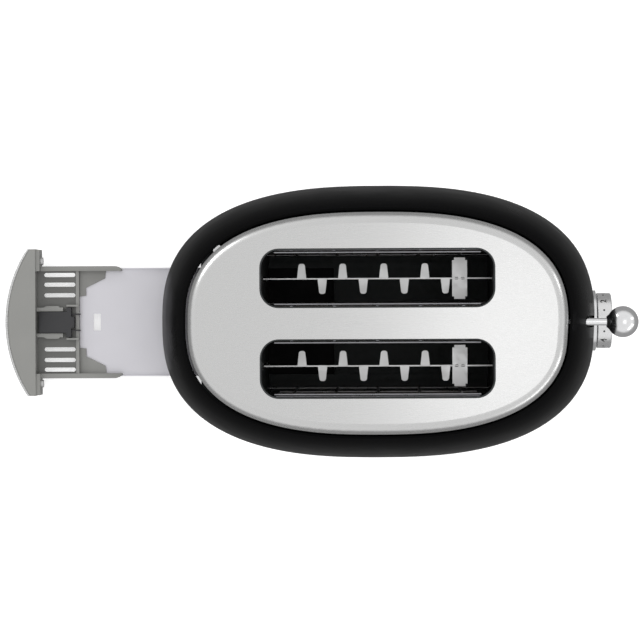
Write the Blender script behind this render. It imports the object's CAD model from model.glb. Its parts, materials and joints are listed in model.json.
"""Looks of a two slot pop up toaster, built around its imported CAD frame. Metres, +Z up."""

import json
import math

import bmesh
import bpy
from mathutils import Matrix, Vector


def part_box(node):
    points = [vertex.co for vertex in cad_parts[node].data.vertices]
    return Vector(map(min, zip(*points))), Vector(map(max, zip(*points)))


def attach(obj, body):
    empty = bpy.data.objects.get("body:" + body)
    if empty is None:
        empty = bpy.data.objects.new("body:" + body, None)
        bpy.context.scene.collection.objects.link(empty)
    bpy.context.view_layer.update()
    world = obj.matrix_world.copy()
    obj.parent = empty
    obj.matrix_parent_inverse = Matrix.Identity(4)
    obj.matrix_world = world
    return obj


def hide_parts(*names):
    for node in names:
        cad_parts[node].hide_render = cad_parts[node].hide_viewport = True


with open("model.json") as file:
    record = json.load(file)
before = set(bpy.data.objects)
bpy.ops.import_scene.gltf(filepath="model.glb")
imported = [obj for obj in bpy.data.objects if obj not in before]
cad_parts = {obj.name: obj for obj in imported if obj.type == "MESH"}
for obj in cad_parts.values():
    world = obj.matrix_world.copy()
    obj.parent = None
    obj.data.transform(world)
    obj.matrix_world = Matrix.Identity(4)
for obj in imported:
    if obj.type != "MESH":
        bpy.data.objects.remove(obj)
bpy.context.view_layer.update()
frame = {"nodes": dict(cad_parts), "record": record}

# ---- camera -------------------------------------------------------------------------------------
CAMERA_PLACE = Vector((0.0060, 0.0196, 2.198))
CAMERA_AIM = Vector((-0.0373, 0.0011, 0.198))
CAMERA_LENS = 166.2
CAMERA_ROLL = 0.0045
SENSOR_WIDTH = 36.0
CLIP_END = 50.0


def add_camera():
    """Camera almost straight above, the picture's up along +Y."""
    data = bpy.data.cameras.new("camera")
    data.lens = CAMERA_LENS
    data.sensor_width = SENSOR_WIDTH
    data.clip_end = CLIP_END
    camera = bpy.data.objects.new("camera", data)
    bpy.context.collection.objects.link(camera)
    back = (CAMERA_PLACE - CAMERA_AIM).normalized()
    heading = Vector((math.sin(CAMERA_ROLL), math.cos(CAMERA_ROLL), 0))
    right = heading.cross(back).normalized()
    up = back.cross(right)
    turn = Matrix((right, up, back)).transposed().to_4x4()
    camera.matrix_world = Matrix.Translation(CAMERA_PLACE) @ turn
    bpy.context.scene.camera = camera


add_camera()


# ---- node helpers for materials -----------------------------------------------------------------
class Surface:
    """A new material with a Principled shader, and short calls that add nodes to it."""

    def __init__(self, name, color, metallic=0.0, roughness=0.5):
        self.material = bpy.data.materials.new(name)
        self.material.use_nodes = True
        self.tree = self.material.node_tree
        self.shader = self.tree.nodes["Principled BSDF"]
        self.set("Base Color", (*color, 1.0))
        self.set("Metallic", metallic)
        self.set("Roughness", roughness)

    def set(self, socket, value):
        """Give one of the shader's own sockets a plain value."""
        self.shader.inputs[socket].default_value = value

    def link(self, output, socket):
        """Join an output to a socket of the shader."""
        self.tree.links.new(output, self.shader.inputs[socket])

    def node(self, kind, **values):
        """Add a node and set its properties."""
        made = self.tree.nodes.new(kind)
        for key, value in values.items():
            setattr(made, key, value)
        return made

    def place(self, stretch=(1.0, 1.0, 1.0)):
        """Object coordinates, stretched."""
        coordinates = self.node("ShaderNodeTexCoord")
        mapping = self.node("ShaderNodeMapping")
        mapping.inputs["Scale"].default_value = stretch
        self.tree.links.new(coordinates.outputs["Object"], mapping.inputs["Vector"])
        return mapping.outputs["Vector"]

    def noise(self, scale, detail=2.0, stretch=(1.0, 1.0, 1.0)):
        """Noise from 0 to 1 in object coordinates."""
        texture = self.node("ShaderNodeTexNoise")
        texture.inputs["Scale"].default_value = scale
        texture.inputs["Detail"].default_value = detail
        self.tree.links.new(self.place(stretch), texture.inputs["Vector"])
        return texture.outputs["Fac"]

    def spread(self, value, low, high, from_low=0.3, from_high=0.7):
        """Map a value, by default a noise value, to a range."""
        ranged = self.node("ShaderNodeMapRange")
        ranged.inputs["From Min"].default_value = from_low
        ranged.inputs["From Max"].default_value = from_high
        ranged.inputs["To Min"].default_value = low
        ranged.inputs["To Max"].default_value = high
        self.tree.links.new(value, ranged.inputs["Value"])
        return ranged.outputs["Result"]

    def tint(self, value, low, high):
        """Colour between two, by a value."""
        mix = self.node("ShaderNodeMix", data_type="RGBA")
        mix.inputs["A"].default_value = (*low, 1.0)
        mix.inputs["B"].default_value = (*high, 1.0)
        self.tree.links.new(value, mix.inputs["Factor"])
        return mix.outputs["Result"]

    def blend(self, share, first, second):
        """Colour between two colour outputs."""
        mix = self.node("ShaderNodeMix", data_type="RGBA")
        self.tree.links.new(share, mix.inputs["Factor"])
        self.tree.links.new(first, mix.inputs["A"])
        self.tree.links.new(second, mix.inputs["B"])
        return mix.outputs["Result"]

    def coordinate(self, axis):
        """One of the object coordinates, in metres."""
        split = self.node("ShaderNodeSeparateXYZ")
        self.tree.links.new(self.place(), split.inputs["Vector"])
        return split.outputs[axis]

    def sum_of(self, value, number):
        """A value plus a number."""
        add = self.node("ShaderNodeMath", operation="ADD")
        self.tree.links.new(value, add.inputs[0])
        add.inputs[1].default_value = number
        return add.outputs["Value"]

    def size_of(self, value):
        """A value without its sign."""
        absolute = self.node("ShaderNodeMath", operation="ABSOLUTE")
        self.tree.links.new(value, absolute.inputs[0])
        return absolute.outputs["Value"]

    def bump(self, height, distance, strength=1.0):
        """Bump from a height, in metres."""
        bump = self.node("ShaderNodeBump")
        bump.inputs["Distance"].default_value = distance
        bump.inputs["Strength"].default_value = strength
        self.tree.links.new(height, bump.inputs["Height"])
        self.link(bump.outputs["Normal"], "Normal")


# ---- materials ----------------------------------------------------------------------------------
def black_enamel():
    """Deep black paint with a weak gloss and a very slight orange peel."""
    look = Surface("black_enamel", (0.0025, 0.0025, 0.0027), roughness=0.3)
    look.set("IOR", 1.045)
    look.set("Coat Weight", 0.03)
    look.set("Coat Roughness", 0.08)
    look.link(look.spread(look.noise(35.0), 0.27, 0.33), "Roughness")
    look.bump(look.noise(420.0, 1.0), 0.000006, 0.4)
    return look.material


def brushed_steel():
    """Satin stainless sheet with fine brush lines along X."""
    look = Surface("brushed_steel", (0.73, 0.73, 0.727), metallic=1.0)
    lines = look.noise(14.0, 3.0, (1.0, 240.0, 240.0))
    look.link(look.spread(lines, 0.25, 0.31), "Roughness")
    look.link(look.tint(lines, (0.715, 0.715, 0.712), (0.745, 0.745, 0.742)), "Base Color")
    look.bump(lines, 0.000001, 0.2)
    return look.material


def chrome():
    """Satin plating with faint smudges."""
    look = Surface("chrome", (0.93, 0.93, 0.94), metallic=1.0)
    look.link(look.spread(look.noise(120.0, 4.0), 0.2, 0.27), "Roughness")
    return look.material


def plain_metal(name, dark, light, low, high, grain=220.0):
    """Mill finish metal: mottled colour and roughness."""
    look = Surface(name, light, metallic=1.0)
    mottle = look.noise(grain, 4.0)
    look.link(look.tint(mottle, dark, light), "Base Color")
    look.link(look.spread(mottle, low, high), "Roughness")
    look.bump(look.noise(4.0 * grain, 2.0), 0.00001, 0.4)
    return look.material


def moulded(name, dark, light, low, high, grain=1400.0, depth=0.00003):
    """Moulded plastic or rubber with a fine grain."""
    look = Surface(name, light)
    look.link(look.tint(look.noise(40.0, 3.0), dark, light), "Base Color")
    texture = look.noise(grain, 2.0)
    look.link(look.spread(texture, low, high), "Roughness")
    look.bump(texture, depth, 0.6)
    return look.material


def mica():
    """Pressed mica board: pale flakes."""
    look = Surface("mica", (0.5, 0.43, 0.31), roughness=0.5)
    flakes = look.noise(520.0, 5.0)
    look.link(look.tint(look.spread(flakes, 0.0, 1.0), (0.30, 0.25, 0.17), (0.62, 0.55, 0.42)), "Base Color")
    look.link(look.spread(flakes, 0.3, 0.7), "Roughness")
    return look.material


# Where along the tray the sheet starts to be browned, and where it is fully so.
TINT_START_X = -0.125
TINT_END_X = -0.098


def tray_metal():
    """Light sheet metal, browned to near black at the end that lies under the heaters."""
    look = Surface("tray_metal", (0.8, 0.79, 0.83), metallic=1.0)
    mottle = look.noise(90.0, 3.0)
    clean = look.tint(mottle, (0.79, 0.78, 0.825), (0.81, 0.8, 0.84))
    burnt = look.tint(look.noise(60.0, 5.0), (0.006, 0.006, 0.007), (0.016, 0.015, 0.015))
    share = look.spread(look.coordinate("X"), 0.0, 1.0, TINT_START_X, TINT_END_X)
    look.link(look.blend(share, clean, burnt), "Base Color")
    look.link(look.spread(mottle, 0.4, 0.48), "Roughness")
    look.bump(look.noise(900.0, 2.0), 0.000006, 0.4)
    return look.material


# Middle height of the tray's sunk floor, how far from it the coarse finish reaches, and where it ends.
RECESS_Z = 0.0150
RECESS_REACH = 0.0011
RECESS_END = 1.3 * RECESS_REACH


def tray_plastic():
    """Mid grey moulded plastic, its sunk floor with a darker, coarser texture."""
    look = Surface("tray_plastic", (0.23, 0.23, 0.22))
    tone = look.noise(40.0, 3.0)
    smooth = look.tint(tone, (0.215, 0.215, 0.205), (0.245, 0.245, 0.234))
    coarse = look.tint(tone, (0.105, 0.105, 0.1), (0.125, 0.125, 0.119))
    away = look.sum_of(look.coordinate("Z"), -RECESS_Z)
    share = look.spread(look.size_of(away), 1.0, 0.0, RECESS_REACH, RECESS_END)
    look.link(look.blend(share, smooth, coarse), "Base Color")
    grain = look.noise(1400.0, 2.0)
    look.link(look.spread(grain, 0.42, 0.58), "Roughness")
    look.bump(grain, 0.00003, 0.6)
    return look.material


SLOT_MATERIALS = {
    "black_enamel": black_enamel,
    "brushed_steel": brushed_steel,
    "chrome": chrome,
    "frame_steel": lambda: plain_metal("frame_steel", (0.42, 0.43, 0.44), (0.6, 0.6, 0.61), 0.3, 0.45),
    "dark_steel": lambda: moulded("dark_steel", (0.02, 0.0235, 0.0245), (0.027, 0.031, 0.0325), 0.5, 0.7),
    "tray_plastic": tray_plastic,
    "tray_metal": tray_metal,
    "dark_plastic": lambda: moulded("dark_plastic", (0.022, 0.022, 0.024), (0.03, 0.03, 0.032), 0.38, 0.5),
    "black_rubber": lambda: moulded("black_rubber", (0.016, 0.016, 0.016), (0.024, 0.024, 0.024), 0.7, 0.9),
    "mica": mica,
    "heater_strip": lambda: plain_metal("heater_strip", (0.2, 0.19, 0.18), (0.34, 0.31, 0.29), 0.4, 0.6),
    "board_green": lambda: moulded("board_green", (0.012, 0.09, 0.035), (0.02, 0.12, 0.05), 0.3, 0.45),
    "copper_winding": lambda: plain_metal("copper_winding", (0.55, 0.22, 0.09), (0.75, 0.33, 0.15), 0.25, 0.4),
    "carrier_steel": lambda: plain_metal("carrier_steel", (0.66, 0.66, 0.66), (0.76, 0.76, 0.76), 0.28, 0.4),
    "wire_steel": lambda: plain_metal("wire_steel", (0.3, 0.3, 0.32), (0.45, 0.45, 0.47), 0.25, 0.4),
    "dial_metal": lambda: plain_metal("dial_metal", (0.88, 0.88, 0.885), (0.93, 0.93, 0.935), 0.22, 0.32),
}
materials = {name: make() for name, make in SLOT_MATERIALS.items()}
materials["mark_black"] = moulded("mark_black", (0.002, 0.002, 0.002), (0.004, 0.004, 0.004), 0.6, 0.75)
slot_of_node = {entry["node"]: entry["material_slot"] for entry in frame["record"]["subparts"]}


def finish_node(name):
    """Give a CAD node the material of its slot."""
    for slot in frame["nodes"][name].material_slots:
        slot.material = materials[slot_of_node[name]]


for node_name in frame["nodes"]:
    finish_node(node_name)


# ---- softened moulded edges ----------------------------------------------------------------------
MERGE_DISTANCE = 0.00001
FLAT_ANGLE = math.radians(1.0)
EDGE_ANGLE = math.radians(50.0)
EDGE_STEPS = 2


def softened(node_name, body, width):
    """Copy of a CAD node with small rounded edges, which stands for it."""
    source = frame["nodes"][node_name]
    mesh = source.data.copy()
    shape = bmesh.new()
    shape.from_mesh(mesh)
    bmesh.ops.remove_doubles(shape, verts=shape.verts, dist=MERGE_DISTANCE)
    bmesh.ops.dissolve_limit(shape, angle_limit=FLAT_ANGLE, verts=shape.verts, edges=shape.edges)
    shape.to_mesh(mesh)
    shape.free()
    mesh.name = "soft_" + node_name
    piece = bpy.data.objects.new("soft_" + node_name, mesh)
    bpy.context.collection.objects.link(piece)
    mesh.materials.clear()
    mesh.materials.append(materials[slot_of_node[node_name]])
    bevel = piece.modifiers.new("bevel", "BEVEL")
    bevel.width = width
    bevel.segments = EDGE_STEPS
    bevel.limit_method = "ANGLE"
    bevel.angle_limit = EDGE_ANGLE
    bevel.use_clamp_overlap = True
    bevel.harden_normals = True
    for polygon in mesh.polygons:
        polygon.use_smooth = True
    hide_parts(node_name)
    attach(piece, body)


# Node, its body and the width of its rounded edges.
SOFTENED = (
    ("tray_frame", "tray", 0.0004),
    ("tray_latch", "latch", 0.0004),
    ("tray_front_cover", "tray", 0.0006),
)
for node_name, body_name, edge_width in SOFTENED:
    softened(node_name, body_name, edge_width)


# ---- dial markings -------------------------------------------------------------------------------
DIAL_BODY = "dial"
DIGIT_STEP = math.radians(45.0)
TOP_DIGIT = 3
DIGIT_COUNT = 6
DIGIT_SIZE = 0.0062
DIGIT_BOLDNESS = 0.00012
MARK_PROUD = 0.00004
MARK_SUNK = 0.0002
DOT_RADIUS = 0.0007
DOT_CORNERS = 20
MARKS_SHARE = 0.42
dial_low, dial_high = (Vector(corner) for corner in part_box("browning_dial"))
dial_centre = (dial_low + dial_high) / 2
dial_radius = (dial_high.z - dial_low.z) / 2
marks_x = dial_low.x + MARKS_SHARE * (dial_high.x - dial_low.x)


def flat_digit(text):
    """Mesh of a digit, centred, its thickness from 0 to 1 along Z."""
    curve = bpy.data.curves.new("digit", "FONT")
    curve.body = text
    curve.size = DIGIT_SIZE
    curve.align_x = "CENTER"
    curve.align_y = "CENTER"
    curve.extrude = 0.5
    curve.offset = DIGIT_BOLDNESS
    holder = bpy.data.objects.new("digit", curve)
    bpy.context.collection.objects.link(holder)
    mesh = bpy.data.meshes.new_from_object(holder)
    bpy.data.objects.remove(holder)
    shape = bmesh.new()
    shape.from_mesh(mesh)
    bmesh.ops.translate(shape, vec=(0, 0, 0.5), verts=shape.verts)
    return shape


def flat_dot():
    """Mesh of a round dot, its thickness from 0 to 1 along Z."""
    shape = bmesh.new()
    bmesh.ops.create_cone(
        shape, cap_ends=True, segments=DOT_CORNERS, radius1=DOT_RADIUS, radius2=DOT_RADIUS, depth=1.0
    )
    bmesh.ops.translate(shape, vec=(0, 0, 0.5), verts=shape.verts)
    return shape


def wrap_on_dial(shape, angle, name):
    """Bend a flat mark round the dial's side, its top towards the body."""
    for vertex in shape.verts:
        across, up, out = vertex.co
        radius = dial_radius - MARK_SUNK + out * (MARK_SUNK + MARK_PROUD)
        turn = angle + across / dial_radius
        vertex.co = (
            marks_x - up,
            dial_centre.y + radius * math.sin(turn),
            dial_centre.z + radius * math.cos(turn),
        )
    mesh = bpy.data.meshes.new(name)
    bmesh.ops.recalc_face_normals(shape, faces=shape.faces)
    shape.to_mesh(mesh)
    shape.free()
    mesh.materials.append(materials["mark_black"])
    piece = bpy.data.objects.new(name, mesh)
    bpy.context.collection.objects.link(piece)
    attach(piece, DIAL_BODY)


for digit in range(1, DIGIT_COUNT + 1):
    place = (TOP_DIGIT - digit) * DIGIT_STEP
    wrap_on_dial(flat_digit(str(digit)), place, f"dial_digit_{digit}")
    if digit < DIGIT_COUNT:
        wrap_on_dial(flat_dot(), place - DIGIT_STEP / 2, f"dial_dot_{digit}")


# ---- stage --------------------------------------------------------------------------------------
FLOOR_REACH = 6.0
FLOOR_GLOW = 0.45
# Height of the view direction, from the horizon at 0 to straight up at 1, and brightness.
SURROUND_STOPS = ((0.0, 0.3), (0.06, 0.62), (0.35, 0.8), (0.92, 0.76))
# Name, place, aim, size and power of each soft box that gloss reflects.
SOFT_BOXES = (
    ("top_box", (0.75, -0.1, 3.4), (0, 0, 0), (1.5, 1.1), 3.6),
    ("upper_left_box", (-2.4, 1.9, 1.3), (0, 0, 0.1), (1.4, 0.7), 17.0),
    ("lower_right_box", (2.2, -2.1, 1.2), (0, 0, 0.1), (1.4, 0.6), 4.0),
    ("side_box_1", (2.6, 0.9, 0.9), (0, 0, 0.1), (0.35, 0.9), 2.5),
    ("side_box_-1", (2.6, -0.9, 0.9), (0, 0, 0.1), (0.35, 0.9), 2.5),
)


def add_stage():
    """Plain pale floor with a faint glow, which lifts the shadows."""
    reach = FLOOR_REACH
    mesh = bpy.data.meshes.new("floor")
    corners = [(-reach, -reach, 0), (reach, -reach, 0), (reach, reach, 0), (-reach, reach, 0)]
    mesh.from_pydata(corners, [], [(0, 1, 2, 3)])
    floor = bpy.data.objects.new("floor", mesh)
    bpy.context.collection.objects.link(floor)
    paint = Surface("floor_paint", (0.9, 0.9, 0.9), roughness=0.9)
    paint.set("Specular IOR Level", 0.1)
    paint.set("Emission Color", (1.0, 1.0, 1.0, 1.0))
    paint.set("Emission Strength", FLOOR_GLOW)
    mesh.materials.append(paint.material)
    floor.visible_glossy = False


def add_area_light(name, place, aim, size, power):
    """Soft box at a place, facing an aim point."""
    data = bpy.data.lights.new(name, "AREA")
    data.shape = "RECTANGLE"
    data.size, data.size_y = size
    data.energy = power
    light = bpy.data.objects.new(name, data)
    bpy.context.collection.objects.link(light)
    light.location = place
    light.rotation_euler = (Vector(aim) - Vector(place)).to_track_quat("-Z", "Y").to_euler()
    light.visible_camera = False
    return light


def add_surround():
    """Studio that gloss and metal reflect: bright overhead, dimmer at and below the horizon."""
    world = bpy.data.worlds.new("surround")
    world.use_nodes = True
    tree = world.node_tree
    coordinates = tree.nodes.new("ShaderNodeTexCoord")
    split = tree.nodes.new("ShaderNodeSeparateXYZ")
    ramp = tree.nodes.new("ShaderNodeValToRGB")
    tree.links.new(coordinates.outputs["Generated"], split.inputs["Vector"])
    tree.links.new(split.outputs["Z"], ramp.inputs["Fac"])
    tree.links.new(ramp.outputs["Color"], tree.nodes["Background"].inputs["Color"])
    ramp.color_ramp.interpolation = "EASE"
    while len(ramp.color_ramp.elements) < len(SURROUND_STOPS):
        ramp.color_ramp.elements.new(0.5)
    for element, (position, level) in zip(ramp.color_ramp.elements, SURROUND_STOPS):
        element.position = position
        element.color = (level, level, level, 1.0)
    bpy.context.scene.world = world


def add_light():
    """Broad overhead light for the floor and matt surfaces, and soft boxes that gloss reflects."""
    broad = add_area_light("broad_box", (0.0, 0.0, 4.0), (0, 0, 0), (5.0, 5.0), 90.0)
    broad.visible_glossy = False
    for soft_box in SOFT_BOXES:
        add_area_light(*soft_box)
    add_surround()
    bpy.context.scene.view_settings.view_transform = "Standard"


add_stage()
add_light()
